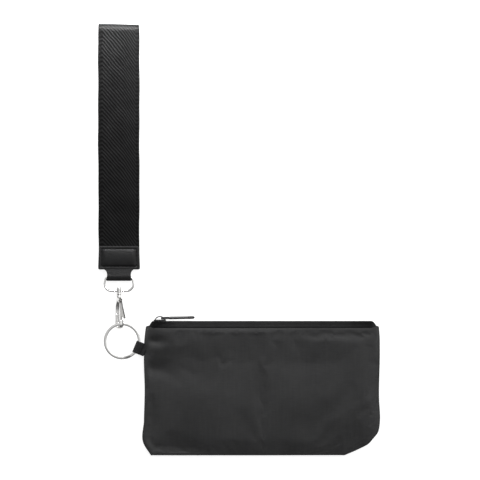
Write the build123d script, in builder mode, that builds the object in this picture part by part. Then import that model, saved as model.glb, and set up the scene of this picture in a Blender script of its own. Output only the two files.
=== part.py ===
"""Zippered wristlet pouch with a side loop, split ring, swivel snap hook and webbing wrist strap.

Millimetres. The pouch lies on its back on the plane Z = 0. +X runs from the slider's closed end
to the far end of the zip, +Y from the pouch's bottom edge to its zip, +Z out of the front panel.
The origin is on the back face, at the middle of the pouch's width.
"""
from build123d import *
import os
from math import cos, hypot, radians, sin, sqrt

os.makedirs("parts", exist_ok=True)

# ---------------------------------------------------------------- driving dimensions
# pouch
half_width = 93.8
bottom_y = -53.7
panel_top_y = 48.8
back_depth = 4.1
seam_gap = 0.3
front_depth = 9.1
panel_skin = 0.8
back_round = 3.2
front_round = 8.4
lining_inset = 1.45
lining_skin = 0.4

# zip
chain_z = 6.2
tape_skin = 0.5
tape_top_y = 53.4
tape_half_length = 90.0
tape_hem_half_length = 84.5
tape_hem_y = 44.0
coil_height = 1.2
coil_width = 2.1
coil_gap = 0.8
coil_left = -87.2
coil_right = 85.8
slider_x = -81.2
slider_length = 9.6
slider_width = 7.8
plate_skin = 1.0
slider_clearance = 0.2
crown_rise = 2.8
crown_skin = 0.8
crown_width = 1.8
pull_length = 26.2
pull_width = 5.4
pull_skin = 1.2
pull_rest_angle = 1.0
pull_roll = 9.0

# side loop and split ring
ring_x = -111.4
ring_y = 37.5
ring_z = 4.75
ring_outer_r = 14.7
ring_inner_r = 12.3
ring_turn_height = 1.06
ring_groove = 0.08
loop_width = 9.4
loop_skin = 0.8
loop_root_x = -94.9
loop_root_y = 30.6

# snap hook: its plane leans back from upright, about the strap's own axis
strap_x = -114.0
hook_z = 3.8
hook_lean = 60.0
hook_half_skin = 1.65
hook_rounding = 0.45
collar_y = 75.4
shank_r = 2.1
post_r = 1.0
post_clearance = 0.06
gate_pin_r = 0.5
gate_skin = 1.0
gate_slot = 2.0
gate_pivot = (2.5, 69.2)

# bail and strap
bail_wire_r = 0.9
bail_bar_y = 87.6
bail_foot_y = 77.2
boss_r = 2.1
tongue_width = 19.2
tab_bottom_y = 94.4
tab_top_y = 113.2
tab_width = 33.2
tab_skin = 0.9
web_width = 31.8
web_skin = 1.4
strap_top_y = 290.6
strap_loop_height = 10.4


def save(part, name):
    """Label a finished piece and write it as the node of that name."""
    part.label = name
    export_step(part, f"parts/{name}.step")


# ---------------------------------------------------------------- pouch panels and lining
def pouch_half(base_z, depth, rounding, inset, top_y, skin, upward):
    """One half of the pouch: a tray with rounded edges, open where the halves meet and at the zip."""
    rim = Plane.XY.offset(base_z)
    with BuildPart() as half:
        with BuildSketch(rim):
            with BuildLine():
                Polyline(
                    (-half_width + inset, top_y),
                    (-half_width + inset, -44.4),
                    (-88.4 + inset * 0.5, bottom_y + inset),
                    (66.6 - inset * 0.3, bottom_y + inset),
                    (84.2 - inset * 0.6, -45.6 + inset * 0.7),
                    (93.2 - inset, -32.4 + inset * 0.3),
                    (half_width - inset, top_y),
                    close=True,
                )
            make_face()
        extrude(amount=(depth - inset) * (1 if upward else -1))
        outer_face = half.faces().sort_by(Axis.Z)[-1 if upward else 0]
        rounded = [e for e in outer_face.edges() if e.center().Y < top_y - 0.01]
        fillet(rounded, rounding - inset)
        open_faces = [
            half.faces().sort_by(Axis.Z)[0 if upward else -1],
            half.faces().sort_by(Axis.Y)[-1],
        ]
        offset(amount=-skin, openings=open_faces)
    return half.part


back_panel = pouch_half(back_depth, back_depth, back_round, 0.0, panel_top_y, panel_skin, False)
save(back_panel, "back_panel")

lining_top_y = panel_top_y - 0.9
back_lining = pouch_half(
    back_depth, back_depth, back_round, lining_inset, lining_top_y, lining_skin, False
)
save(back_lining, "back_lining")

front_rim_z = back_depth + seam_gap
front_panel = pouch_half(front_rim_z, front_depth, front_round, 0.0, panel_top_y, panel_skin, True)
save(front_panel, "front_panel")

front_lining = pouch_half(
    front_rim_z, front_depth, front_round, lining_inset, lining_top_y, lining_skin, True
)
save(front_lining, "front_lining")


# ---------------------------------------------------------------- zip tapes, coils and stops
hem_clearance = 0.1
flat_tape_half = slider_width / 2 + 0.6
front_hem_z = front_rim_z + front_depth - panel_skin - hem_clearance - tape_skin
back_hem_z = panel_skin + hem_clearance


def zip_tape(side, hem_low_z):
    """A tape lying flat beside the chain, then bent down to its hem under the panel's edge."""
    near_z = chain_z + side * coil_gap / 2
    bend_z = chain_z + side * flat_tape_half
    hem_z = hem_low_z + tape_skin / 2
    mid_y = tape_top_y - tape_skin / 2
    with BuildPart() as tape:
        with BuildSketch(Plane.YZ):
            with BuildLine():
                Polyline((mid_y, near_z), (mid_y, bend_z), (panel_top_y + 0.35, hem_z))
            trace(line_width=tape_skin)
        extrude(amount=tape_half_length, both=True)
        with BuildSketch(Plane.YZ):
            with Locations(((panel_top_y + tape_hem_y + 0.4) / 2, hem_z)):
                Rectangle(panel_top_y + 0.4 - tape_hem_y, tape_skin)
        extrude(amount=tape_hem_half_length, both=True)
    return tape.part


front_zip_tape = zip_tape(1, front_hem_z)
save(front_zip_tape, "front_zip_tape")

back_zip_tape = zip_tape(-1, back_hem_z)
save(back_zip_tape, "back_zip_tape")

coil_y = tape_top_y - tape_skin - coil_height / 2


def zip_bar(x_low, x_high, z_near, z_far, side, height):
    """A bar under one tape, between two distances from the middle of the chain."""
    with BuildPart() as bar:
        middle = ((x_low + x_high) / 2, coil_y, chain_z + side * (z_near + z_far) / 2)
        with Locations(middle):
            Box(x_high - x_low, height, z_far - z_near)
        fillet(bar.edges().filter_by(Axis.X), 0.3)
    return bar.part


coil_far = coil_gap / 2 + coil_width
front_coil = zip_bar(coil_left, coil_right, coil_gap / 2, coil_far, 1, coil_height)
save(front_coil, "front_coil")

back_coil = zip_bar(coil_left, coil_right, coil_gap / 2, coil_far, -1, coil_height)
save(back_coil, "back_coil")

stop_length = 1.8
front_top_stop = zip_bar(coil_left - stop_length, coil_left, 0.5, coil_far, 1, 1.1)
save(front_top_stop, "front_top_stop")

back_top_stop = zip_bar(coil_left - stop_length, coil_left, 0.5, coil_far, -1, 1.1)
save(back_top_stop, "back_top_stop")

with BuildPart() as bottom_stop:
    with Locations((coil_right + 1.4, coil_y, chain_z)):
        Box(2.4, 1.1, 2 * coil_far)
    fillet(bottom_stop.edges().filter_by(Axis.Y), 0.4)
save(bottom_stop.part, "bottom_stop")


# ---------------------------------------------------------------- slider, crown and pull
top_plate_y = tape_top_y + slider_clearance
lower_plate_y = coil_y - coil_height / 2 - 0.5 - plate_skin
slider_deck_y = top_plate_y + plate_skin


nose = slider_length / 2
broad = slider_width / 2

with BuildSketch() as slider_plan:
    with BuildLine():
        Polyline(
            (-nose, -broad + 0.9),
            (-nose + 1.2, -broad),
            (nose - 3.0, -broad),
            (nose, -broad + 1.3),
            (nose, broad - 1.3),
            (nose - 3.0, broad),
            (-nose + 1.2, broad),
            (-nose, broad - 0.9),
            close=True,
        )
    make_face()


def facing_up(y):
    """A plane at height y, seen along +Y, with local x along +X, centred on the slider."""
    return Plane(origin=(slider_x, y, chain_z), x_dir=(1, 0, 0), z_dir=(0, 1, 0))


with BuildPart() as slider_body:
    with BuildSketch(facing_up(top_plate_y)):
        add(slider_plan.sketch)
    extrude(amount=plate_skin)
    with BuildSketch(facing_up(lower_plate_y)):
        add(slider_plan.sketch)
    extrude(amount=plate_skin)
    with BuildSketch(facing_up(lower_plate_y + plate_skin)):
        with Locations((-slider_length / 2 + 1.8, 0)):
            Rectangle(2.2, coil_gap - 0.2)
    extrude(amount=top_plate_y - lower_plate_y - plate_skin)
    fillet(slider_body.faces().sort_by(Axis.Y)[-1].edges(), 0.35)
    fillet(slider_body.faces().sort_by(Axis.Y)[0].edges(), 0.35)
save(slider_body.part, "slider_body")

crown_half_length = 4.2
crown_r = (crown_half_length**2 + crown_rise**2) / (2 * crown_rise)
crown_centre_y = slider_deck_y + crown_rise - crown_r

with BuildPart() as slider_crown:
    with BuildSketch(Plane.XY.offset(chain_z - crown_width / 2)):
        with Locations((slider_x, crown_centre_y)):
            Circle(crown_r)
            Circle(crown_r - crown_skin, mode=Mode.SUBTRACT)
        with Locations((slider_x, slider_deck_y - crown_r)):
            Rectangle(4 * crown_r, 2 * crown_r, mode=Mode.SUBTRACT)
    extrude(amount=crown_width)
    fillet(slider_crown.edges().filter_by(GeomType.CIRCLE), 0.25)
save(slider_crown.part, "slider_crown")

pull_bar_r = 0.55
pull_pivot = (slider_x + 1.3, slider_deck_y + 1.15)
pull_slot_end = 6.4
pull_slot_width = 2.8
pull_tilt = radians(pull_rest_angle)
pull_plane = Plane(
    origin=(pull_pivot[0], pull_pivot[1], chain_z),
    x_dir=(cos(pull_tilt), sin(pull_tilt), 0),
    z_dir=(-sin(pull_tilt), cos(pull_tilt), 0),
).rotated((pull_roll, 0, 0))
pull_end_r = 2.1

with BuildPart() as pull_tab:
    with BuildSketch(pull_plane.offset(-pull_skin / 2)):
        with BuildLine():
            half_pull = pull_width / 2
            Polyline((0, -half_pull + 0.6), (0, half_pull - 0.6), (2.4, half_pull))
            Line((2.4, half_pull), (pull_length - pull_end_r, pull_end_r))
            ThreePointArc(
                (pull_length - pull_end_r, pull_end_r),
                (pull_length, 0),
                (pull_length - pull_end_r, -pull_end_r),
            )
            Polyline((pull_length - pull_end_r, -pull_end_r), (2.4, -half_pull), (0, -half_pull + 0.6))
        make_face()
        with Locations((pull_slot_end / 2, 0)):
            Rectangle(pull_slot_end, pull_slot_width, mode=Mode.SUBTRACT)
        with Locations((pull_length - 5.0, 0)):
            SlotOverall(5.2, 1.6, mode=Mode.SUBTRACT)
    extrude(amount=pull_skin)
    with BuildSketch(Plane.XY.offset(chain_z - half_pull + 0.7)):
        with Locations(pull_pivot):
            Circle(pull_bar_r)
    extrude(amount=pull_width - 1.4)
save(pull_tab.part, "pull_tab")


# ---------------------------------------------------------------- side loop and split ring
loop_back_x = loop_root_x - ring_x
loop_back_y = loop_root_y - ring_y
loop_reach = hypot(loop_back_x, loop_back_y)
loop_dir = (-loop_back_x / loop_reach, -loop_back_y / loop_reach, 0)
loop_plane = Plane(
    origin=(loop_root_x, loop_root_y, 0),
    x_dir=loop_dir,
    z_dir=(loop_dir[1], -loop_dir[0], 0),
)
half_loop = loop_width / 2
eye_near = loop_reach - ring_outer_r - 0.25
eye_far = loop_reach - sqrt(ring_inner_r**2 - half_loop**2) + 0.15
eye_half = ring_turn_height + ring_groove / 2 + 0.15
loop_outer_half = eye_half + loop_skin

with BuildPart() as side_loop:
    with BuildSketch(loop_plane):
        with BuildLine():
            Polyline(
                (-3.0, ring_z - 0.7 * loop_skin),
                (-3.0, ring_z + 0.7 * loop_skin),
                (eye_near - 1.6, ring_z + loop_skin),
                (eye_near + 0.3, ring_z + loop_outer_half),
                (eye_far - 0.3, ring_z + loop_outer_half),
                (eye_far + loop_skin, ring_z + 0.9),
                (eye_far + loop_skin, ring_z - 0.9),
                (eye_far - 0.3, ring_z - loop_outer_half),
                (eye_near + 0.3, ring_z - loop_outer_half),
                (eye_near - 1.6, ring_z - loop_skin),
                close=True,
            )
        make_face()
        with Locations(((eye_near + eye_far) / 2, ring_z)):
            Rectangle(eye_far - eye_near, 2 * eye_half, mode=Mode.SUBTRACT)
    extrude(amount=half_loop, both=True)
    split(bisect_by=Plane(origin=(loop_root_x, 0, 0), z_dir=(-1, 0, 0)), keep=Keep.TOP)
save(side_loop.part, "side_loop")

with BuildPart() as split_ring:
    wire_width = ring_outer_r - ring_inner_r
    wire_mid = (ring_outer_r + ring_inner_r) / 2
    with BuildSketch(Plane(origin=(ring_x, ring_y, ring_z), x_dir=(1, 0, 0), z_dir=(0, -1, 0))):
        for turn in (-1, 1):
            with Locations((wire_mid, turn * (ring_turn_height + ring_groove) / 2)):
                RectangleRounded(wire_width, ring_turn_height, 0.35)
        with Locations((wire_mid, 0)):
            Rectangle(wire_width * 0.55, 3 * ring_groove)
    revolve(axis=Axis((ring_x, ring_y, 0), (0, 0, 1)))
save(split_ring.part, "split_ring")


# ---------------------------------------------------------------- snap hook
lean = radians(hook_lean)
hook_plane = Plane(
    origin=(strap_x, 0, hook_z),
    x_dir=(cos(lean), 0, sin(lean)),
    z_dir=(-sin(lean), 0, cos(lean)),
)
hook_bottom_y = 47.1
eye_bottom_y = 48.6
nose_tip_y = 54.6
spine_out = -3.4
spine_in = -1.6
nose_in = 3.85
nose_out = 5.2


def across_strap(y):
    """A plane square to the strap at height y, facing up it, centred on its swivel axis."""
    return Plane(origin=(strap_x, y, hook_z), x_dir=(1, 0, 0), z_dir=(0, 1, 0))


def corners_between(sketch, low_y, high_y):
    """A sketch's corners between two heights."""
    return sketch.vertices().filter_by_position(Axis.Y, low_y, high_y)


with BuildPart() as hook_body:
    with BuildSketch(hook_plane) as hook_outline:
        with BuildLine():
            Polyline(
                (-shank_r, collar_y - 3.0),
                (spine_out, 66.5),
                (spine_out, hook_bottom_y),
                (nose_out, hook_bottom_y),
                (nose_out, nose_tip_y),
                (nose_in, nose_tip_y),
                (nose_in, eye_bottom_y),
                (spine_in, eye_bottom_y),
                (spine_in, 66.8),
                (gate_pivot[0] + 1.5, 67.6),
                (gate_pivot[0] + 1.5, 70.6),
                (shank_r, collar_y - 2.0),
                close=True,
            )
        make_face()
        corners = hook_outline.vertices().group_by(Axis.Y)
        fillet(corners[0], 3.4)
        fillet(corners_between(hook_outline, eye_bottom_y - 0.1, eye_bottom_y + 0.1), 0.9)
        fillet(corners_between(hook_outline, nose_tip_y - 0.1, nose_tip_y + 0.1), 0.6)
        fillet(corners_between(hook_outline, 66.0, 70.8), 0.9)
    extrude(amount=hook_half_skin, both=True)
    flats = hook_body.faces().filter_by(Axis((0, 0, 0), hook_plane.z_dir))
    fillet(flats.edges(), hook_rounding)
    with BuildSketch(across_strap(collar_y - 5.2)):
        Circle(shank_r)
    extrude(amount=5.2)
    with BuildSketch(hook_plane):
        with BuildLine():
            Polyline(
                (gate_pivot[0] - 1.5, 60.0),
                (gate_pivot[0] - 1.5, 70.0),
                (gate_pivot[0] - 0.6, 70.9),
                (gate_pivot[0] + 2.5, 70.9),
                (gate_pivot[0] + 2.5, 60.0),
                close=True,
            )
        make_face()
    extrude(amount=gate_slot / 2, both=True, mode=Mode.SUBTRACT)
    with BuildSketch(hook_plane):
        with Locations(gate_pivot):
            Circle(gate_pin_r)
    extrude(amount=hook_half_skin, both=True, mode=Mode.SUBTRACT)
    with BuildSketch(across_strap(collar_y - 3.0)):
        Circle(post_r)
    extrude(amount=3.0, mode=Mode.SUBTRACT)
save(hook_body.part, "hook_body")

gate_low = -gate_slot / 2 + 0.1
with BuildPart() as gate:
    with BuildSketch(hook_plane.offset(gate_low)):
        with BuildLine():
            Polyline(
                (gate_pivot[0] - 0.9, 69.0),
                (gate_pivot[0] - 1.1, 66.0),
                (2.1, 58.0),
                (2.3, 53.4),
                (nose_in - 0.2, 53.4),
                (nose_in - 0.1, 56.6),
                (4.8, 57.6),
                (9.2, 55.6),
                (9.9, 56.3),
                (6.2, 63.5),
                (gate_pivot[0] + 1.2, 69.4),
                (gate_pivot[0], 70.3),
                close=True,
            )
        make_face()
        with Locations(gate_pivot):
            Circle(gate_pin_r + 0.05, mode=Mode.SUBTRACT)
    extrude(amount=gate_skin)
save(gate.part, "gate")

with BuildPart() as gate_pin:
    with BuildSketch(hook_plane.offset(-hook_half_skin)):
        with Locations(gate_pivot):
            Circle(gate_pin_r)
    extrude(amount=2 * hook_half_skin)
save(gate_pin.part, "gate_pin")

spring_height = gate_slot / 2 - (gate_low + gate_skin) - 0.15
with BuildPart() as gate_spring:
    with BuildSketch(hook_plane.offset(gate_low + gate_skin + 0.08)):
        with Locations(gate_pivot):
            Circle(1.1)
            Circle(gate_pin_r + 0.08, mode=Mode.SUBTRACT)
    extrude(amount=spring_height)
save(gate_spring.part, "gate_spring")

head_y = bail_foot_y + 1.25
head_r = 1.9
with BuildPart() as swivel_post:
    with BuildSketch(across_strap(collar_y - 3.0)):
        Circle(post_r)
    extrude(amount=head_y - collar_y + 3.0)
    with BuildSketch(across_strap(head_y)):
        Circle(head_r)
    extrude(amount=2.0)
    fillet(swivel_post.faces().sort_by(Axis.Y)[-1].edges(), 1.4)
save(swivel_post.part, "swivel_post")


# ---------------------------------------------------------------- bail
def strap_point(x, y):
    """A point in the bail's plane, with x from the strap's own centre line."""
    return (strap_x + x, y, hook_z)


with BuildPart() as bail:
    with BuildLine() as bail_line:
        FilletPolyline(
            strap_point(10.6, bail_bar_y),
            strap_point(-10.6, bail_bar_y),
            strap_point(-12.0, 81.0),
            strap_point(-8.2, bail_foot_y),
            strap_point(8.2, bail_foot_y),
            strap_point(12.0, 81.0),
            radius=(1.1, 1.1, 5.2, 5.2, 5.2, 5.2),
            close=True,
        )
    with BuildSketch(Plane(origin=bail_line.line @ 0, z_dir=bail_line.line % 0)):
        Circle(bail_wire_r)
    sweep(path=bail_line.line)
    with BuildSketch(across_strap(bail_foot_y - 1.2)):
        Circle(boss_r)
    extrude(amount=2.4)
    with BuildSketch(across_strap(bail_foot_y - 1.3)):
        Circle(post_r + post_clearance)
    extrude(amount=2.6, mode=Mode.SUBTRACT)
save(bail.part, "bail")


# ---------------------------------------------------------------- strap tab and webbing
tab_height = 2 * (tab_skin + web_skin)
tongue_r = bail_wire_r + 0.1 + tab_skin
side_view = Plane.YZ.offset(strap_x)

with BuildPart() as strap_tab:
    with BuildSketch(side_view):
        with BuildLine():
            Polyline(
                (bail_bar_y, hook_z + tongue_r),
                (bail_bar_y, hook_z - tongue_r),
                (tab_bottom_y, 0.3),
                (tab_bottom_y + 1.0, 0.3),
                (tab_bottom_y + 1.0, tab_height - 0.1),
                (tab_bottom_y, tab_height - 0.1),
                close=True,
            )
        make_face()
        with Locations((bail_bar_y, hook_z)):
            Circle(tongue_r)
            Circle(bail_wire_r + 0.1, mode=Mode.SUBTRACT)
    extrude(amount=tongue_width / 2, both=True)
    with BuildSketch(side_view):
        with Locations(((tab_bottom_y + tab_top_y) / 2, tab_height / 2)):
            Rectangle(tab_top_y - tab_bottom_y, tab_height)
    extrude(amount=tab_width / 2, both=True)
    fillet(strap_tab.edges().filter_by(Axis.Z), 1.2)
    with BuildSketch(side_view):
        with Locations(((tab_bottom_y + 1.2 + tab_top_y + 1) / 2, tab_height / 2)):
            Rectangle(tab_top_y - tab_bottom_y - 0.2, 2 * web_skin)
    extrude(amount=tab_width, both=True, mode=Mode.SUBTRACT)
save(strap_tab.part, "strap_tab")

fold_r = strap_loop_height / 2 - web_skin / 2
web_low_z = web_skin / 2
web_end_y = tab_bottom_y + 1.6
with BuildPart() as strap_webbing:
    with BuildSketch(side_view):
        with BuildLine():
            FilletPolyline(
                (web_end_y, tab_skin + web_low_z),
                (tab_top_y + 2, tab_skin + web_low_z),
                (tab_top_y + 14, web_low_z),
                (strap_top_y - web_low_z, web_low_z),
                (strap_top_y - web_low_z, strap_loop_height - web_low_z),
                (strap_top_y - 55, strap_loop_height - web_low_z),
                (tab_top_y + 14, tab_height - tab_skin + 0.6),
                (tab_top_y + 2, tab_height - tab_skin - web_low_z),
                (web_end_y, tab_height - tab_skin - web_low_z),
                radius=fold_r * 0.98,
            )
        trace(line_width=web_skin - 0.02)
    extrude(amount=web_width / 2, both=True)
save(strap_webbing.part, "strap_webbing")
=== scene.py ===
"""Looks for the zippered wristlet pouch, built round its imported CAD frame.

The pouch lies on its back on Z = 0, with +X along the zip and +Y out of its mouth. The builders
below work in millimetres, and mesh_piece turns their points into metres. Cloth is built as grids
of points that become thin closed shells, with UVs in millimetres of cloth, so that each weave has
its real size.
"""

from math import ceil, cos, pi, radians, sin

import bpy
import numpy as np
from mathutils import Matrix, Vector


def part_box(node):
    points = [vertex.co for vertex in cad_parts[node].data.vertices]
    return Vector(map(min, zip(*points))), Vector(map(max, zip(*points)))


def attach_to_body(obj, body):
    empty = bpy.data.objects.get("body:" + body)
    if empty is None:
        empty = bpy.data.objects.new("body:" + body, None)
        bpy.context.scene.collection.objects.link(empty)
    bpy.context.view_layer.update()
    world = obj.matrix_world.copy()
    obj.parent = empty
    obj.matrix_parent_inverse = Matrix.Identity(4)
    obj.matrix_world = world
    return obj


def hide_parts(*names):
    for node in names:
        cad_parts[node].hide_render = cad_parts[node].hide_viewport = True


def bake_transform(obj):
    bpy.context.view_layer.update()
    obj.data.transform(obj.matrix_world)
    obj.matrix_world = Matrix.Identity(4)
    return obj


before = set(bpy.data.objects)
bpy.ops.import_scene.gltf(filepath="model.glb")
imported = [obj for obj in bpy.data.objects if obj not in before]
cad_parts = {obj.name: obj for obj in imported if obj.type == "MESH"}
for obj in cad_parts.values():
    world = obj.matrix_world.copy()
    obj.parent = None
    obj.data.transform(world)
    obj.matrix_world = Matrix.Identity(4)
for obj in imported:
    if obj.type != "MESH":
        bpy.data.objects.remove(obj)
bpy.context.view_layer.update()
mm = 0.001


def box_mm(node):
    """Lowest and highest corner of a CAD node, in millimetres."""
    low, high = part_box(node)
    return np.array(low) / mm, np.array(high) / mm


# ---- sizes read from the frame
front_low, front_high = box_mm("front_panel")
_, back_high = box_mm("back_panel")
bottom_y = front_low[1]
panel_top_y = front_high[1]
half_width = front_high[0]
seam_z = (back_high[2] + front_low[2]) / 2
front_rise = front_high[2] - seam_z - 0.6

coil_low, coil_high = box_mm("front_coil")
_, back_coil_high = box_mm("back_coil")
chain_z = (coil_low[2] + back_coil_high[2]) / 2
coil_y = (coil_low[1] + coil_high[1]) / 2
_, tape_high = box_mm("front_zip_tape")
tape_top_y = tape_high[1]

ring_low, ring_high = box_mm("split_ring")
ring_centre = (ring_low + ring_high) / 2
ring_outer_r = (ring_high[0] - ring_low[0]) / 2

loop_low, loop_high = box_mm("side_loop")
web_low, web_high = box_mm("strap_webbing")
tab_low, tab_high = box_mm("strap_tab")
bail_low, bail_high = box_mm("bail")
strap_x = (web_low[0] + web_high[0]) / 2
bail_wire_r = 0.9
bail_bar_y = bail_high[1] - bail_wire_r
_, hook_high = box_mm("hook_body")
post_low, post_high = box_mm("swivel_post")
hook_axis_z = (post_low[2] + post_high[2]) / 2


# ---- camera
view_centre = Vector((-17.4 * mm, 118.0 * mm, 0.0))
view_width = 384 * mm
camera_height = 1.6

camera_data = bpy.data.cameras.new("camera")
camera_data.sensor_width = 36.0
camera_data.lens = camera_data.sensor_width * camera_height / view_width
camera_data.clip_start = 0.1
camera_data.clip_end = 20.0
camera = bpy.data.objects.new("camera", camera_data)
camera.location = view_centre + Vector((0.0, 0.0, camera_height))
bpy.context.scene.collection.objects.link(camera)
bpy.context.scene.camera = camera
bpy.context.scene.view_settings.view_transform = "Standard"


# ---- node helpers
RANGE_SOCKETS = ("From Min", "From Max", "To Min", "To Max")


class Shader:
    """A material's node tree, with one method for each kind of node that the materials use."""

    def __init__(self, name):
        self.material = bpy.data.materials.new(name)
        self.material.use_nodes = True
        self.tree = self.material.node_tree
        self.surface = self.tree.nodes["Principled BSDF"]

    def node(self, kind, **settings):
        made = self.tree.nodes.new(kind)
        for setting, value in settings.items():
            setattr(made, setting, value)
        return made

    def feed(self, socket, value):
        """Set a socket from a number, a colour or another node's output."""
        if isinstance(value, bpy.types.NodeSocket):
            self.tree.links.new(value, socket)
        else:
            socket.default_value = value

    def math(self, operation, first, second=0.0):
        made = self.node("ShaderNodeMath", operation=operation)
        self.feed(made.inputs[0], first)
        self.feed(made.inputs[1], second)
        return made.outputs[0]

    def times(self, first, second):
        return self.math("MULTIPLY", first, second)

    def plus(self, first, second):
        return self.math("ADD", first, second)

    def minus(self, first, second):
        return self.math("SUBTRACT", first, second)

    def cloth_uv(self):
        """Millimetres across and along the cloth."""
        split = self.node("ShaderNodeSeparateXYZ")
        made = self.node("ShaderNodeUVMap", uv_map="Cloth")
        self.feed(split.inputs[0], made.outputs[0])
        return made.outputs[0], split.outputs[0], split.outputs[1]

    def object_mm(self):
        """A CAD node's own coordinates, in millimetres."""
        made = self.node("ShaderNodeTexCoord")
        scaled = self.node("ShaderNodeVectorMath", operation="SCALE")
        self.feed(scaled.inputs[0], made.outputs["Object"])
        scaled.inputs["Scale"].default_value = 1 / mm
        return scaled.outputs[0]

    def stretched(self, vector, x, y, z=1.0):
        made = self.node("ShaderNodeMapping")
        self.feed(made.inputs["Vector"], vector)
        made.inputs["Scale"].default_value = (x, y, z)
        return made.outputs[0]

    def noise(self, vector, size, detail=3.0):
        """Noise whose blotches are about size millimetres across."""
        made = self.node("ShaderNodeTexNoise")
        self.feed(made.inputs["Vector"], vector)
        made.inputs["Scale"].default_value = 1 / size
        made.inputs["Detail"].default_value = detail
        made.inputs["Roughness"].default_value = 0.55
        return made.outputs["Fac"]

    def ribs(self, distance, pitch):
        """A wave from 0 to 1 that repeats every pitch millimetres."""
        wave = self.math("SINE", self.times(distance, 2 * pi / pitch))
        return self.plus(self.times(wave, 0.5), 0.5)

    def spread(self, value, low, high, to_low=0.0, to_high=1.0):
        made = self.node("ShaderNodeMapRange")
        self.feed(made.inputs["Value"], value)
        for socket, limit in zip(RANGE_SOCKETS, (low, high, to_low, to_high)):
            made.inputs[socket].default_value = limit
        return made.outputs[0]

    def colours(self, share, first, second):
        made = self.node("ShaderNodeMix", data_type="RGBA")
        self.feed(made.inputs["Factor"], share)
        made.inputs[6].default_value = (*first, 1.0)
        made.inputs[7].default_value = (*second, 1.0)
        return made.outputs[2]

    def bump(self, height, depth):
        """Relief of depth millimetres."""
        made = self.node("ShaderNodeBump")
        made.inputs["Distance"].default_value = depth * mm
        self.feed(made.inputs["Height"], height)
        self.feed(self.surface.inputs["Normal"], made.outputs[0])

    def finish(self, colour, roughness, metallic=0.0, **uniform):
        self.feed(self.surface.inputs["Base Color"], colour)
        self.feed(self.surface.inputs["Roughness"], roughness)
        self.surface.inputs["Metallic"].default_value = metallic
        for socket, value in uniform.items():
            self.surface.inputs[socket.replace("_", " ")].default_value = value
        return self.material


# ---- materials
def satin_nylon():
    """The pouch's cloth: fine ribbed satin with slubs, softly mottled."""
    shader = Shader("satin_nylon")
    uv, across, along = shader.cloth_uv()
    warp = shader.ribs(across, 0.42)
    weft = shader.ribs(along, 0.36)
    weave = shader.times(warp, weft)
    slubs = shader.noise(shader.stretched(uv, 0.12, 1.6), 1.0, 2.0)
    streaks = shader.noise(shader.stretched(uv, 0.9, 0.06), 1.6, 2.0)
    clouds = shader.noise(uv, 26.0, 3.0)
    fleck = shader.plus(shader.times(slubs, 0.6), shader.times(streaks, 0.4))
    share = shader.spread(shader.plus(fleck, clouds), 0.60, 1.40)
    colour = shader.colours(share, (0.0205, 0.0205, 0.0210), (0.0335, 0.0335, 0.0341))
    relief = shader.plus(weave, shader.times(fleck, 0.6))
    shader.bump(relief, 0.05)
    roughness = shader.spread(clouds, 0.3, 0.7, 0.46, 0.58)
    return shader.finish(
        colour, roughness, Specular_IOR_Level=0.15, Sheen_Weight=0.06, Sheen_Roughness=0.45
    )


def plain_weave(name, pitches, mottle_size, tones, depth, rough, grain=None, **uniform):
    """Yarns crossing at two pitches, mottled between two tones, with a grain of (x, y, size)."""
    shader = Shader(name)
    uv, across, along = shader.cloth_uv()
    relief = shader.times(shader.ribs(across, pitches[0]), shader.ribs(along, pitches[1]))
    if grain:
        stretch_x, stretch_y, size = grain
        relief = shader.plus(relief, shader.noise(shader.stretched(uv, stretch_x, stretch_y), size))
    mottle = shader.noise(uv, mottle_size)
    shader.bump(relief, depth)
    roughness = shader.spread(mottle, 0.3, 0.7, *rough)
    return shader.finish(shader.colours(mottle, *tones), roughness, **uniform)


def lining_cloth():
    """Thin plain-woven polyester inside the pouch."""
    tones = (0.017, 0.017, 0.018), (0.035, 0.035, 0.037)
    return plain_weave(
        "lining_cloth", (0.3, 0.3), 18.0, tones, 0.04, (0.6, 0.72), Specular_IOR_Level=0.3
    )


def tab_cloth():
    """The strap's stitched cap: smooth, finely ribbed and slightly glossy."""
    tones = (0.0050, 0.0050, 0.0053), (0.0100, 0.0100, 0.0104)
    grain = (0.3, 1.2, 1.3)
    gloss = {"Specular_IOR_Level": 0.18, "Sheen_Weight": 0.03}
    return plain_weave("tab_cloth", (0.45, 0.34), 8.0, tones, 0.05, (0.40, 0.50), grain, **gloss)


def grosgrain():
    """Ribbed loop tape: the ribs themselves are in the mesh, the yarns in the material."""
    tones = (0.0035, 0.0035, 0.004), (0.012, 0.012, 0.013)
    fuzz = (1.0, 1.0, 0.9)
    gloss = {"Specular_IOR_Level": 0.25}
    return plain_weave("grosgrain", (0.4, 0.8), 0.9, tones, 0.08, (0.62, 0.78), fuzz, **gloss)


def zip_tape_cloth():
    """Woven zip tape: ribs along its length, broken by fine picks across them."""
    shader = Shader("zip_tape_cloth")
    uv, across, along = shader.cloth_uv()
    ribs = shader.ribs(along, 0.85)
    picks = shader.ribs(across, 0.4)
    weave = shader.plus(ribs, shader.times(picks, 0.35))
    wear = shader.noise(uv, 7.0)
    # The colour follows the weave: painted shade darkens its hollows, times a random worn tone.
    share = shader.times(shader.spread(weave, 0.2, 1.3), shader.spread(wear, 0.2, 0.8, 0.6, 1.0))
    colour = shader.colours(share, (0.0028, 0.0028, 0.0031), (0.0092, 0.0092, 0.0097))
    shader.bump(weave, 0.12)
    roughness = shader.spread(wear, 0.3, 0.7, 0.5, 0.65)
    return shader.finish(colour, roughness, Specular_IOR_Level=0.14, Sheen_Weight=0.04)


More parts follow.
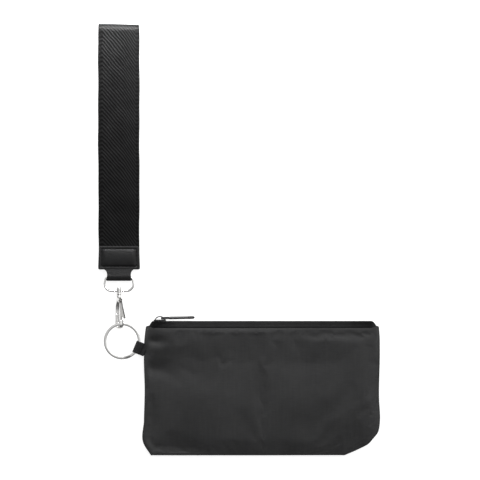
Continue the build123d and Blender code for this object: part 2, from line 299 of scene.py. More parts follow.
def twill_webbing():
    """Strap webbing: steep twill ribs, steeper still in the last third, between plain selvages."""
    shader = Shader("twill_webbing")
    uv, across, along = shader.cloth_uv()
    steeper_from = 20.0
    straight_until = 3.2
    selvage = 2.0
    rib_pitch = 3.3
    width = web_high[0] - web_low[0]
    beyond = shader.math("MAXIMUM", shader.minus(across, steeper_from), 0.0)
    slanted = shader.math("MAXIMUM", across, straight_until)
    lean = shader.plus(shader.times(slanted, 1.15), shader.times(beyond, 0.35))
    wobble = shader.times(shader.noise(uv, 9.0, 1.0), 2.2)
    twill = shader.ribs(shader.plus(shader.minus(along, lean), wobble), rib_pitch)
    yarns = shader.ribs(across, 0.62)
    picks = shader.ribs(along, 0.55)
    broken = shader.times(yarns, picks)
    middle = shader.minus(across, width / 2)
    from_edge = shader.minus(width / 2, shader.math("ABSOLUTE", middle))
    body = shader.spread(from_edge, selvage - 0.4, selvage + 0.2)
    beads = shader.times(shader.ribs(along, rib_pitch), shader.spread(body, 0.0, 1.0, 1.0, 0.0))
    relief = shader.plus(shader.times(twill, body), shader.times(beads, 0.7))
    relief = shader.plus(relief, shader.times(broken, 0.3))
    wear = shader.noise(uv, 14.0)
    patches = shader.spread(wear, 0.3, 0.7, 0.5, 1.0)
    # The colour follows the relief: painted shade darkens the hollows between the twill ribs and selvage
    # beads, over a random patchy tone.
    share = shader.times(shader.spread(relief, 0.15, 1.2), patches)
    colour = shader.colours(share, (0.0026, 0.0026, 0.0027), (0.0046, 0.0046, 0.0048))
    shader.bump(relief, 0.13)
    gloss = shader.spread(share, 0.0, 1.0, 0.08, 0.26)
    shader.feed(shader.surface.inputs["Specular IOR Level"], gloss)
    roughness = shader.spread(wear, 0.3, 0.7, 0.36, 0.46)
    return shader.finish(colour, roughness)


def thread():
    """Bonded sewing thread, with its twist as relief."""
    shader = Shader("thread")
    place = shader.object_mm()
    twist = shader.noise(shader.stretched(place, 3.0, 3.0, 3.0), 1.0, 1.0)
    colour = shader.colours(twist, (0.0015, 0.0015, 0.0017), (0.0060, 0.0060, 0.0065))
    shader.bump(twist, 0.05)
    return shader.finish(colour, shader.spread(twist, 0.3, 0.7, 0.5, 0.7), Specular_IOR_Level=0.1)


def coil_nylon():
    """Moulded black nylon of the zip's coils."""
    shader = Shader("coil_nylon")
    place = shader.object_mm()
    haze = shader.noise(place, 3.0)
    colour = shader.colours(haze, (0.009, 0.009, 0.010), (0.018, 0.018, 0.019))
    shader.bump(shader.noise(place, 0.3), 0.02)
    return shader.finish(colour, shader.spread(haze, 0.3, 0.7, 0.3, 0.42))


def nickel(name, dull, bright):
    """Nickel plating between two tones, with faint cloudiness and fine polishing marks."""
    shader = Shader(name)
    place = shader.object_mm()
    haze = shader.noise(place, 5.0, 4.0)
    marks = shader.noise(shader.stretched(place, 0.4, 3.5, 3.5), 0.5, 2.0)
    colour = shader.colours(haze, dull, bright)
    shader.bump(marks, 0.012)
    roughness = shader.spread(shader.plus(haze, marks), 0.6, 1.4, 0.09, 0.22)
    return shader.finish(colour, roughness, metallic=1.0)


def dark_steel():
    """Oiled spring steel."""
    shader = Shader("dark_steel")
    place = shader.object_mm()
    haze = shader.noise(place, 1.5, 3.0)
    colour = shader.colours(haze, (0.16, 0.155, 0.15), (0.34, 0.33, 0.32))
    shader.bump(shader.noise(place, 0.25), 0.01)
    return shader.finish(colour, shader.spread(haze, 0.3, 0.7, 0.25, 0.4), metallic=1.0)


def black_metal():
    """Black plated zinc of the slider and pull, rubbed a little paler."""
    shader = Shader("black_metal")
    place = shader.object_mm()
    rubbed = shader.noise(place, 2.2, 4.0)
    scratches = shader.noise(shader.stretched(place, 0.5, 4.0, 4.0), 0.6, 2.0)
    worn = shader.spread(rubbed, 0.45, 0.75)
    colour = shader.colours(worn, (0.006, 0.006, 0.0065), (0.030, 0.0295, 0.029))
    shader.bump(scratches, 0.015)
    roughness = shader.spread(rubbed, 0.3, 0.7, 0.22, 0.4)
    return shader.finish(colour, roughness, metallic=0.2, Specular_IOR_Level=0.3)


# ---- curves and surfaces
upright = np.array([0.0, 0.0, 1.0])


def joined(*coordinates):
    """Points made from their separate coordinates."""
    return np.stack(np.broadcast_arrays(*coordinates), axis=-1)


def unit(vectors):
    """The same directions with length 1."""
    return vectors / np.maximum(np.linalg.norm(vectors, axis=-1, keepdims=True), 1e-9)


def path_run(path):
    """Distance travelled along a path at each of its points."""
    steps = np.linalg.norm(np.diff(path, axis=0), axis=1)
    return np.concatenate([[0.0], np.cumsum(steps)])


# ---- mesh helpers
def mesh_piece(name, points, faces, material=None, uvs=None):
    """A smooth-shaded mesh object from points in millimetres."""
    mesh = bpy.data.meshes.new(name)
    mesh.from_pydata((np.asarray(points) * mm).tolist(), [], [list(f) for f in faces])
    if material is not None:
        mesh.materials.append(material)
    if uvs is not None:
        layer = mesh.uv_layers.new(name="Cloth")
        corner_points = np.zeros(len(mesh.loops), int)
        mesh.loops.foreach_get("vertex_index", corner_points)
        layer.data.foreach_set("uv", np.asarray(uvs)[corner_points].ravel())
    mesh.polygons.foreach_set("use_smooth", np.ones(len(mesh.polygons), bool))
    mesh.update()
    piece = bpy.data.objects.new(name, mesh)
    bpy.context.scene.collection.objects.link(piece)
    return piece


def smooth_curve(knots, at):
    """A value that runs smoothly through (position, value) knots, read at other positions."""
    places, values = np.array(knots, float).T
    slopes = np.gradient(values, places)
    span = np.clip(np.searchsorted(places, at) - 1, 0, len(places) - 2)
    length = places[span + 1] - places[span]
    t = (at - places[span]) / length
    start = (1 + 2 * t) * (1 - t) ** 2 * values[span] + t * (1 - t) ** 2 * length * slopes[span]
    end = t * t * (3 - 2 * t) * values[span + 1] + t * t * (t - 1) * length * slopes[span + 1]
    return start + end


def through(points, count):
    """Points evenly spaced along a smooth curve through a few plane points."""
    points = np.array(points, float)
    chords = path_run(points)
    fine = np.linspace(0.0, chords[-1], 40 * len(points))
    curve = joined(*(smooth_curve(list(zip(chords, axis)), fine) for axis in points.T))
    lengths = path_run(curve)
    wanted = np.linspace(0.0, lengths[-1], count)
    return joined(*(np.interp(wanted, lengths, axis) for axis in curve.T))


def arc(centre_y, centre_z, radius_y, radius_z, from_degrees, to_degrees, count):
    """Points of an ellipse in a side view, turning from +Y."""
    turn = np.radians(np.linspace(from_degrees, to_degrees, count))
    return joined(centre_y + radius_y * np.cos(turn), centre_z + radius_z * np.sin(turn))


def line(start, end, count):
    """Points from start up to, but not at, end in a side view."""
    share = np.linspace(0.0, 1.0, count, endpoint=False)[:, None]
    return np.array(start) * (1 - share) + np.array(end) * share


def eased(low, high, x):
    """0 below low, 1 above high, and smooth between."""
    t = np.clip((x - low) / (high - low), 0.0, 1.0)
    return t * t * (3 - 2 * t)


def hump(x, y, centre_x, centre_y, size_x, size_y):
    """A round swelling of height 1."""
    return np.exp(-(((x - centre_x) / size_x) ** 2) - ((y - centre_y) / size_y) ** 2)


def grid_normals(surface):
    """Unit normals of a grid of points, on the side of columns crossed with rows."""
    return unit(np.cross(np.gradient(surface, axis=1), np.gradient(surface, axis=0)))


def length_uvs(surface):
    """Millimetres from the first column and from the first row, for each point of a grid."""
    across = np.linalg.norm(np.diff(surface, axis=1), axis=2)
    along = np.linalg.norm(np.diff(surface, axis=0), axis=2)
    u = np.concatenate([np.zeros((len(surface), 1)), np.cumsum(across, axis=1)], axis=1)
    v = np.concatenate([np.zeros((1, surface.shape[1])), np.cumsum(along, axis=0)], axis=0)
    return joined(u, v)


def facing_grids(index, count):
    """Faces of a grid of point numbers and of the grid count points on, which faces away from it."""
    faces = []
    for row, next_row in zip(index[:-1], index[1:]):
        for quad in zip(row[:-1], row[1:], next_row[1:], next_row[:-1]):
            faces.append(quad)
            faces.append(tuple(count + i for i in reversed(quad)))
    return faces


def shell(outer, skin, uvs, normals=None, open_columns=()):
    """A thin solid of cloth behind an outer grid, with rounded edges.

    Returns points, faces, UVs and normals. open_columns says which of the first and last columns
    are left open, because the next half of the cloth carries on from there.
    """
    rows, columns = outer.shape[:2]
    count = rows * columns
    if normals is None:
        normals = grid_normals(outer)
    inner = outer - normals * np.broadcast_to(skin, (rows, columns))[..., None]
    index = np.arange(count).reshape(rows, columns)
    faces = facing_grids(index, count)
    edges = [(index[0, ::-1], index[1, ::-1]), (index[-1, :], index[-2, :])]
    if 0 not in open_columns:
        edges.append((index[:, 0], index[:, 1]))
    if -1 not in open_columns:
        edges.append((index[::-1, -1], index[::-1, -2]))
    points = [outer.reshape(-1, 3), inner.reshape(-1, 3)]
    flat_uvs = [uvs.reshape(-1, 2)] * 2
    flat_normals = [normals.reshape(-1, 3), -normals.reshape(-1, 3)]
    total = 2 * count
    both = np.concatenate(points)
    for rim, inside in edges:
        middle = (both[rim] + both[count + rim]) / 2
        outward = unit(both[rim] - both[inside])
        depth = np.linalg.norm(both[rim] - both[count + rim], axis=1, keepdims=True)
        points.append(middle + outward * depth * 0.35)
        flat_uvs.append(uvs.reshape(-1, 2)[rim])
        flat_normals.append(outward)
        for k in range(len(rim) - 1):
            a, b = total + k, total + k + 1
            faces.append((rim[k], rim[k + 1], b, a))
            faces.append((a, b, count + rim[k + 1], count + rim[k]))
        total += len(rim)
    return np.concatenate(points), faces, np.concatenate(flat_uvs), np.concatenate(flat_normals)


def cloth_piece(name, outer, skin, material, uvs=None):
    """A whole piece of cloth behind one outer grid."""
    if uvs is None:
        uvs = length_uvs(outer)
    points, faces, flat_uvs, _ = shell(outer, skin, uvs)
    return mesh_piece(name, points, faces, material, flat_uvs)


def cloth_halves(name, outer, skin, material, uvs, seam_column):
    """A piece of cloth in a left and a right half that meet without a visible join."""
    normals = grid_normals(outer)
    spans = {
        "left": (slice(0, seam_column + 1), (-1,)),
        "right": (slice(seam_column, None), (0,)),
    }
    halves = {}
    for side, (span, open_columns) in spans.items():
        skin_here = skin[:, span] if isinstance(skin, np.ndarray) else skin
        points, faces, flat_uvs, flat_normals = shell(
            outer[:, span], skin_here, uvs[:, span], normals[:, span], open_columns
        )
        half = mesh_piece(f"{name}_{side}", points, faces, material, flat_uvs)
        half.data.normals_split_custom_set_from_vertices(flat_normals.tolist())
        halves[side] = half
    return halves


def refined(grid):
    """The same grid with a point between each pair of neighbours, on a smooth curve."""
    for axis in (0, 1):
        lines = np.moveaxis(grid, axis, 0)
        before = np.concatenate([2 * lines[:1] - lines[1:2], lines[:-2]])
        after = np.concatenate([lines[2:], 2 * lines[-1:] - lines[-2:-1]])
        between = (9 * (lines[:-1] + lines[1:]) - before - after) / 16
        finer = np.empty((2 * len(lines) - 1, *lines.shape[1:]))
        finer[0::2] = lines
        finer[1::2] = between
        grid = np.moveaxis(finer, 0, axis)
    return grid


def sweep(path, across, up, section):
    """A bar along path; across and up are its section's axes at each point of the path."""
    sides = len(section)
    last_ring = (len(path) - 1) * sides
    points = (
        path[:, None, :]
        + section[None, :, 0:1] * across[:, None, :]
        + section[None, :, 1:2] * up[:, None, :]
    ).reshape(-1, 3)
    faces = []
    for here in range(0, last_ring, sides):
        there = here + sides
        for s in range(sides):
            n = (s + 1) % sides
            faces.append((here + s, here + n, there + n, there + s))
    faces.append(tuple(range(sides))[::-1])
    faces.append(tuple(range(last_ring, last_ring + sides)))
    return points, faces


def path_axes(path, fixed):
    """Section axes square to a path, with up kept near a fixed direction."""
    along = unit(np.gradient(path, axis=0))
    across = unit(np.cross(along, np.array(fixed, float)))
    return across, np.cross(across, along)


def circle(radius, sides):
    angles = np.arange(sides) * 2 * pi / sides
    return joined(np.cos(angles), np.sin(angles)) * radius


def rounded_power(values, power):
    return np.sign(values) * np.abs(values) ** power


def rounded_section(sides, squareness):
    """A section between a circle, at 1, and a square, at 0."""
    turn = np.linspace(0.0, 2 * pi, sides + 1)[:-1]
    return joined(rounded_power(np.cos(turn), squareness), rounded_power(np.sin(turn), squareness))


def combined(meshes):
    """Several (points, faces) as one."""
    points, faces, start = [], [], 0
    for some_points, some_faces in meshes:
        points.append(some_points)
        faces += [tuple(start + i for i in face) for face in some_faces]
        start += len(some_points)
    return np.concatenate(points), faces


def stitch_row(start, end):
    """A row of raised stitches between two points of a level surface."""
    pitch, length, radius = 2.8, 1.9, 0.30
    start, end = np.array(start), np.array(end)
    run = end - start
    distance = np.linalg.norm(run)
    direction = run / distance
    count = max(1, int(distance / pitch))
    stitches = []
    for k in range(count):
        centre = start + run * (k + 0.5) / count
        t = np.linspace(-1.0, 1.0, 9)[:, None]
        path = centre + direction * t * length / 2 - upright * (t**2) * radius * 1.6
        across, up = path_axes(path, upright)
        taper = np.sqrt(np.maximum(1 - (t * 0.97) ** 4, 0.02))
        stitches.append(sweep(path, across * taper, up * taper, circle(radius, 8)))
    return combined(stitches)


# ---- pouch outline
# (y, x) along each side, from the bottom seam to the zip
left_edge = [
    (bottom_y, -88.4), (-44.6, -94.2), (-26.0, -94.0), (-2.0, -93.4),
    (25.0, -94.0), (42.0, -93.3), (panel_top_y, -92.3),
]
right_edge = [
    (bottom_y, 65.8), (-51.0, 72.5), (-48.9, 77.0), (-45.4, 84.0), (-40.6, 88.6), (-36.0, 92.3),
    (-30.0, 93.9), (-26.0, 94.2), (-8.0, 93.5), (30.0, 94.1), (42.0, 93.9), (panel_top_y, 93.3),
]
seam_y = panel_top_y - 0.9
seam_run = 5.5  # width of the steep rise beside a seam
plump_run = 40.0  # width over which the panel goes on filling out
panel_skin = 0.65
hem_skin = 0.42
hem_length = 1.0


def panel_places(rows, half_columns):
    """x and y of a grid that fills the pouch's outline; its middle column is at x = 0."""
    share = np.linspace(0.0, 1.0, rows)
    share = share - 0.12 * np.sin(2 * pi * share) / (2 * pi)
    side = np.linspace(0.0, 1.0, half_columns)
    side = 1 - (1 - side) ** 1.25
    y = bottom_y + (seam_y - bottom_y) * share
    left = smooth_curve(left_edge, y)[:, None]
    right = smooth_curve(right_edge, y)[:, None]
    left_half = left * (1 - side)[None, :]
    right_half = right * (1 - side)[::-1][None, :]
    x = np.concatenate([left_half, right_half[:, 1:]], axis=1)
    y = np.broadcast_to(y[:, None], x.shape).copy()
    corner = np.exp(-(((x - left - 1.6) / 2.2) ** 2)) + np.exp(-(((x - right + 1.8) / 2.4) ** 2))
    y += 1.6 * corner * eased(seam_y - 6.0, seam_y, y)
    return x, y


def seam_distance(x, y):
    """How far each point is from the side and bottom seams."""
    places = joined(x, y)
    rim = np.concatenate([places[::-1, 0], places[0], places[:, -1]])
    start, run = rim[:-1], np.diff(rim, axis=0)
    size = np.maximum((run**2).sum(axis=1), 1e-9)
    away = places.reshape(-1, 1, 2) - start[None, :, :]
    t = np.clip((away * run[None]).sum(axis=2) / size[None], 0.0, 1.0)
    nearest = away - t[:, :, None] * run[None]
    return np.sqrt((nearest**2).sum(axis=2)).min(axis=1).reshape(x.shape)


# each swelling: rise, centre x and y, size in x and y
side_dents = [
    (-1.9, -85.0, 37.6, 6.5, 3.6),
    (-2.0, -82.0, 15.5, 11.0, 7.0),
    (0.5, -84.0, 32.0, 12.0, 4.0),
]
seam_waves = [(-0.9, 52.0, 43.0, 30.0, 3.6), (0.35, -18.0, 44.8, 34.0, 1.6)]


def front_height(x, y, distance):
    """Height of the front panel before the cloth simulation, with its dents and soft folds."""
    lower_swell = 0.42 * eased(bottom_y - 8.0, bottom_y + 52.0, y)
    upper_swell = 0.20 * eased(seam_y - 30.0, seam_y, y)
    fullness = 0.38 + lower_swell + upper_swell
    plump = 0.86 * (1 - np.exp(-distance / seam_run)) + 0.14 * (1 - np.exp(-distance / plump_run))
    height = seam_z + front_rise * fullness * plump
    inside = eased(0.0, 7.0, distance)
    for rise, *place in side_dents:
        height += rise * hump(x, y, *place) * inside
    for rise, *place in seam_waves:
        height += rise * hump(x, y, *place)
    height -= 2.0 * (1 - eased(-92.0, -25.0, x)) * (1 - eased(10.0, 42.0, y)) * inside
    fold_along = (x - 76.0) * 0.91 + (y + 14.0) * 0.41
    fold_across = -(x - 76.0) * 0.41 + (y + 14.0) * 0.91
    height += 0.55 * np.exp(-((fold_across / 4.0) ** 2) - ((fold_along / 16.0) ** 2)) * inside
    creases = np.sin(x / 3.9 + 0.8 * np.sin(x / 17.0)) * np.sin(x / 11.3 + 1.7)
    height += 0.16 * creases * np.exp(-(seam_y - y) / 13.0) * inside
    height += 0.18 * np.sin(x / 21.0 + y / 34.0) * np.sin(y / 19.0 - x / 47.0 + 0.6) * inside
    return height


def hem_drop(y):
    """The panel's folded edge rolls down into its seam with the zip tape."""
    return 0.35 * eased(seam_y - hem_length, seam_y + 0.1, y)


simulated_frames = 24


def simulated(surface, growth, pressure, furthest):
    """The grid after its cloth has grown a little inside its pinned seams and been blown out softly."""
    rows, columns = surface.shape[:2]
    index = np.arange(rows * columns).reshape(rows, columns)
    quads = joined(index[:-1, :-1], index[:-1, 1:], index[1:, 1:], index[1:, :-1])
    piece = mesh_piece("cloth_in_simulation", surface.reshape(-1, 3), quads.reshape(-1, 4).tolist())
    pins = piece.vertex_groups.new(name="pins")
    held = np.concatenate([index[0], index[-1], index[-2], index[:, 0], index[:, -1]])
    pins.add([int(i) for i in np.unique(held)], 1.0, "REPLACE")
    cloth = piece.modifiers.new("cloth", "CLOTH")
    cloth.settings.quality = 6
    cloth.settings.mass = 0.1
    cloth.settings.tension_stiffness = 12
    cloth.settings.compression_stiffness = 12
    cloth.settings.shear_stiffness = 4
    cloth.settings.bending_stiffness = 2.0
    cloth.settings.air_damping = 4
    cloth.settings.vertex_group_mass = "pins"
    cloth.settings.shrink_min = -growth
    cloth.settings.use_pressure = True
    cloth.settings.uniform_pressure_force = pressure
    cloth.settings.effector_weights.gravity = 0.0
    cloth.collision_settings.use_collision = False
    cloth.point_cache.frame_start = 1
    cloth.point_cache.frame_end = simulated_frames
    for step in range(1, simulated_frames + 1):
        bpy.context.scene.frame_set(step)
    ready = piece.evaluated_get(bpy.context.evaluated_depsgraph_get())
    moved = np.zeros(rows * columns * 3)
    ready.data.vertices.foreach_get("co", moved)
    moved = moved.reshape(rows, columns, 3) / mm
    bpy.data.objects.remove(piece)
    bpy.context.scene.frame_set(1)
    shift = moved - surface
    length = np.maximum(np.linalg.norm(shift, axis=2, keepdims=True), 1e-9)
    return surface + shift * np.minimum(1.0, furthest / length)


# ---- pouch panels and linings
def panel_uvs(surface):
    """Cloth coordinates from a panel's plan, so that the weave runs straight across it."""
    return surface[:, :, :2] + 120.0


def add_panels():
    """Both panels with their linings. Returns the front's outer grid, on which the zip is hung."""
    x, y = panel_places(rows=66, half_columns=60)
    distance = seam_distance(x, y)
    front = joined(x, y, front_height(x, y, distance))
    front = simulated(front, growth=0.003, pressure=0.3, furthest=1.2)
    front = refined(front)
    front[:, :, 2] -= hem_drop(front[:, :, 1])
    front[:, :, 2] = np.maximum(front[:, :, 2], seam_z + 0.06)
    middle = front.shape[1] // 2
    uvs = panel_uvs(front)
    normals = grid_normals(front)
    skin = panel_skin - (panel_skin - hem_skin) * eased(seam_y - 1.6, seam_y, front[:, :, 1])
    panels = cloth_halves("front_panel_cloth", front, skin, satin, uvs, middle)
    attach_halves(panels, "front_panel")

    inset = front - normals * (panel_skin + 0.35)
    inside = (slice(2, -6), slice(2, -2))
    lining = cloth_halves("front_lining_cloth", inset[inside], 0.3, inner_cloth, uvs[inside], middle - 2)
    attach_halves(lining, "front_lining")

    back = refined(joined(x, y, back_height(x, y, distance)))[:, ::-1]
    back_uvs = panel_uvs(back)
    back_piece = cloth_piece("back_panel_cloth", back, panel_skin, satin, back_uvs)
    attach(back_piece, "pouch", "back_panel")

    back_inset = back - grid_normals(back) * (panel_skin + 0.3)
    back_lining = cloth_piece(
        "back_lining_cloth", back_inset[inside], 0.3, inner_cloth, back_uvs[inside]
    )
    attach(back_lining, "pouch", "back_lining")
    return front


def back_height(x, y, distance):
    """Height of the back panel's outer face, which rests on the table inside its seams."""
    flat = (seam_z - 0.1) * np.exp(-((distance / 5.0) ** 1.6))
    ripple = 0.10 * (1 + np.sin(x / 13.0 + y / 23.0) * np.sin(y / 11.0 + 0.4))
    return flat + ripple * eased(4.0, 14.0, distance) + 0.02


# ---- attaching pieces
def attach(piece, body, node):
    """Ride on a CAD body and stand for its node, which is hidden."""
    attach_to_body(piece, body)
    if node:
        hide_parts(node)


def attach_halves(halves, node):
    """Bake each half's placement into its mesh and hide the node that the halves stand for."""
    for side, half in halves.items():
        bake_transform(half)
        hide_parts(node)


# ---- zip tapes and coils
tape_skin = 0.45
tape_flat = 4.4  # how far a tape runs level beside the chain
tape_columns = 247
tape_left_end = -91.6
tape_right_end = 92.6
tape_left_bend = -86.8
tape_right_bend = 87.4


def chain_height(x):
    """How far out of the mouth the chain lies: level, then down to the side seams."""
    left = eased(tape_left_end - 1.0, tape_left_bend, x)
    right = 1 - eased(tape_right_bend, tape_right_end + 1.6, x)
    tucked_y = seam_y - 1.4
    return tucked_y + (tape_top_y - tucked_y - 0.02) * np.minimum(left, right)


def tape_surface(side, hem_z_at, count):
    """Outer face of one tape: beside the chain, over its bend and down to the panel's hem."""
    x = np.linspace(tape_left_end, tape_right_end, count)
    chain_y = chain_height(x)
    hem_z = hem_z_at(x)
    gap = 0.35
    reach = np.abs(hem_z - chain_z)
    from_end = np.minimum(x - tape_left_end, tape_right_end - x)
    flat = tape_flat + 1.1 * (1 - eased(16.0, 26.0, from_end))
    bend = np.minimum(flat, np.maximum(0.72 * reach, flat * eased(1.0, 5.5, from_end)))
    near = np.minimum(gap, 0.1 * reach)
    columns = []
    for share in np.linspace(0.0, 1.0, 7):
        columns.append((chain_y, chain_z + side * (near + (bend - near) * share)))
    for share in np.linspace(0.10, 1.0, 15):
        fall = eased(0.0, 1.0, share) * 0.35 + share * 0.65
        out = 1 - (1 - share) ** 1.7
        fallen_y = chain_y + (seam_y - 0.2 - chain_y) * fall
        columns.append((fallen_y, chain_z + side * (bend + (reach - bend) * out)))
    for share in (1.2, 2.6, 4.2):
        columns.append((np.full_like(x, seam_y - share), hem_z))
    y, z = (np.stack(rows) for rows in zip(*columns))
    ridge = np.exp(-(((y - seam_y - 1.3) / 0.8) ** 2)) * np.minimum(reach / 6.0, 1.0)
    z = z + side * (0.3 if side > 0 else 0.2) * ridge
    z = hem_z + (z - hem_z) * eased(0.0, 4.5, from_end)
    surface = joined(x, y, z)
    return surface[::-1] if side > 0 else surface


def tape_thickness(surface):
    """A tape's thickness, thinner where its ends are crushed into the side seams."""
    x = surface[:, :, 0]
    from_end = np.minimum(x - x.min(), x.max() - x)
    return tape_skin * (0.15 + 0.85 * eased(0.0, 7.0, from_end))


def add_tapes(front):
    """The front tape hangs from the front panel's top row, the back one from the back's."""
    top_row = front[-1]

    def front_hem(x):
        return np.interp(x, top_row[:, 0], top_row[:, 2]) - hem_skin - 0.12

    def back_hem(x):
        edge = np.minimum(x + half_width, half_width - x)
        return (seam_z - 0.2) * np.exp(-((np.maximum(edge, 0.0) / 5.0) ** 1.6)) + 0.95

    tape = tape_surface(1, front_hem, tape_columns)
    middle = int(np.argmin(np.abs(tape[0, :, 0])))
    tape[:, :, 0] -= tape[0, middle, 0]
    thin_ends = tape_thickness(tape)
    halves = cloth_halves("front_tape_cloth", tape, thin_ends, tape_weave, length_uvs(tape), middle)
    attach_halves(halves, "front_zip_tape")

    back = tape_surface(-1, back_hem, tape_columns)
    piece = cloth_piece("back_tape_cloth", back, tape_thickness(back), tape_weave)
    attach(piece, "pouch", "back_zip_tape")


def coil_half(side, x_low, x_high, phase):
    """One half of the chain: a flattened helix of nylon, whose heads reach past the middle."""
    pitch = 1.3
    wire_r = 0.27
    turns = (x_high - x_low) / pitch
    t = np.linspace(0.0, turns, int(ceil(turns * 14)) + 1)
    angle = 2 * pi * t
    head = chain_z - side * 0.22
    heel = chain_z + side * (coil_high[2] - chain_z - wire_r)
    z = (head + heel) / 2 + (head - heel) / 2 * np.cos(angle)
    y = coil_y + (coil_high[1] - coil_low[1] - 2 * wire_r) / 2 * np.sin(angle)
    path = joined(x_low + pitch * (t + phase), y, z)
    across, up = path_axes(path, (1.0, 0.0, 0.0))
    return sweep(path, across, up, circle(wire_r, 6))


def add_coils():
    """The chain's two helices, half a pitch apart, the front one in two halves."""
    x_low, x_high = coil_low[0], coil_high[0]
    halves = {}
    for side, low, high in (("left", x_low, 0.0), ("right", 0.0, x_high)):
        points, faces = coil_half(1, low, high, phase=0.0)
        halves[side] = mesh_piece(f"front_coil_{side}", points, faces, nylon)
    attach_halves(halves, "front_coil")
    points, faces = coil_half(-1, x_low, x_high, phase=0.5)
    attach(mesh_piece("back_coil_wire", points, faces, nylon), "pouch", "back_coil")


def add_top_stops():
    """Small clamps on the coils' closed ends, set in behind the tapes' bend."""
    axes = np.eye(3)
    for node in ("front_top_stop", "back_top_stop"):
        low, high = box_mm(node)
        half = (high - low) / 2
        centre = (low + high) / 2 + np.array([1.0, -0.5, 0.0])
        path = respaced(line((-half[0], 0.0), (half[0], 0.0), 40), 24)
        points, faces = rounded_bar((centre, *axes), path, half[1], half[2])
        clamp = mesh_piece(f"{node}_clamp", points, faces, blackened)
        if node == "front_top_stop":
            attach_halves({"left": clamp}, node)
        else:
            attach(clamp, "pouch", node)


# ---- side loop
def add_side_loop():
    """Grosgrain tape folded round the ring, its cross ribs made in the mesh."""
    loop_root = np.array([loop_high[0], 30.6])
    toward = ring_centre[:2] - loop_root
    reach = np.linalg.norm(toward)
    toward /= reach
    width = 9.4
    skin = 0.8
    ring_middle = reach - ring_outer_r + 1.0
    eye_high = (loop_high[2] - loop_low[2]) / 2
    outline = [
        (-2.2, 0.82), (0.6, 0.86),
        (ring_middle - 3.4, 1.05), (ring_middle - 1.7, eye_high - 0.25),
        (ring_middle + 0.2, eye_high), (ring_middle + 1.9, eye_high - 0.45),
        (ring_middle + 2.75, 0.8), (ring_middle + 2.95, 0.0),
    ]
    folded = outline + [(u, -v) for u, v in outline[-2::-1]]
    path = through(folded, 150)
    along = unit(np.gradient(path, axis=0))
    rib = 0.055 * np.sin(2 * pi * path_run(path) / 0.9)
    path = path + joined(-along[:, 1], along[:, 0]) * rib[:, None]
    t = np.linspace(-1.0, 1.0, 13)
    side = np.sin(t * pi / 2) * width / 2
    base = np.array([*loop_root, ring_centre[2]])
    plane = np.array([*toward, 0.0])
    beside = np.array([toward[1], -toward[0], 0.0])
    outer = (
        base
        + path[:, None, 0:1] * plane
        + side[None, :, None] * beside
        + path[:, None, 1:2] * upright
    )
    thin = skin * (1 - 0.35 * np.abs(t)[None, :] ** 6)
    piece = cloth_piece("side_loop_tape", outer, np.broadcast_to(thin, outer.shape[:2]), loop_weave)
    attach(piece, "loop", "side_loop")


# ---- split ring
def add_split_ring():
    """Two turns of flattened wire that change level beside the wire's two ends."""
    wire_width = 2.3
    wire_height = 1.02
    level = (ring_high[2] - ring_low[2] - wire_height) / 2
    end_angle = radians(-72.0)
    jog = radians(26.0)
    angle = np.linspace(end_angle + jog / 2, end_angle + 4 * pi - jog / 2, 361)
    rise = eased(end_angle + 2 * pi - jog / 2, end_angle + 2 * pi + jog / 2, angle)
    z = ring_centre[2] + level * (2 * rise - 1)
    radius = ring_outer_r - wire_width / 2
    radial = joined(np.cos(angle), np.sin(angle), 0.0)
    path = joined(ring_centre[0] + radius * np.cos(angle), ring_centre[1] + radius * np.sin(angle), z)
    section = rounded_section(20, 0.55) * (wire_width / 2, wire_height / 2)
    points, faces = sweep(path, radial, np.broadcast_to(upright, path.shape), section)
    attach(mesh_piece("split_ring_wire", points, faces, plating), "ring", "split_ring")


# ---- snap hook
hook_lean = radians(60.0)
hook_plane = (
    np.array([strap_x, 0.0, hook_axis_z]),
    np.array([cos(hook_lean), 0.0, sin(hook_lean)]),
    np.array([0.0, 1.0, 0.0]),
    np.array([-sin(hook_lean), 0.0, cos(hook_lean)]),
)
gate_pivot = (2.5, 69.2)


def rounded_bar(plane, path, half_across, half_through, offset=0.0, squareness=0.86):
    """A bar with domed ends along a path in a plane, given by its origin and its three axes."""
    origin, first, second, third = plane
    middle = origin + path[:, 0:1] * first + path[:, 1:2] * second + offset * third
    across, through_axis = path_axes(middle, third)
    run = path_run(path)
    from_end = np.minimum(run, run[-1] - run)
    domed = 1 - np.clip(from_end / np.minimum(half_across, half_through), 0.0, 1.0)
    taper = np.sqrt(np.maximum(1 - domed**2, 0.001))[:, None]
    section = rounded_section(24, squareness)
    wide = np.broadcast_to(half_across, run.shape)[:, None]
    deep = np.broadcast_to(half_through, run.shape)[:, None]
    return sweep(middle, across * wide * taper, through_axis * deep * taper, section)


def respaced(path, count):
    """The same path with its points gathered towards both ends."""
    run = path_run(path)
    t = np.linspace(0.0, 1.0, count)
    at = run[-1] * (0.6 * t + 0.4 * (0.5 - 0.5 * np.cos(pi * t)))
    return joined(*(np.interp(at, run, axis) for axis in path.T))


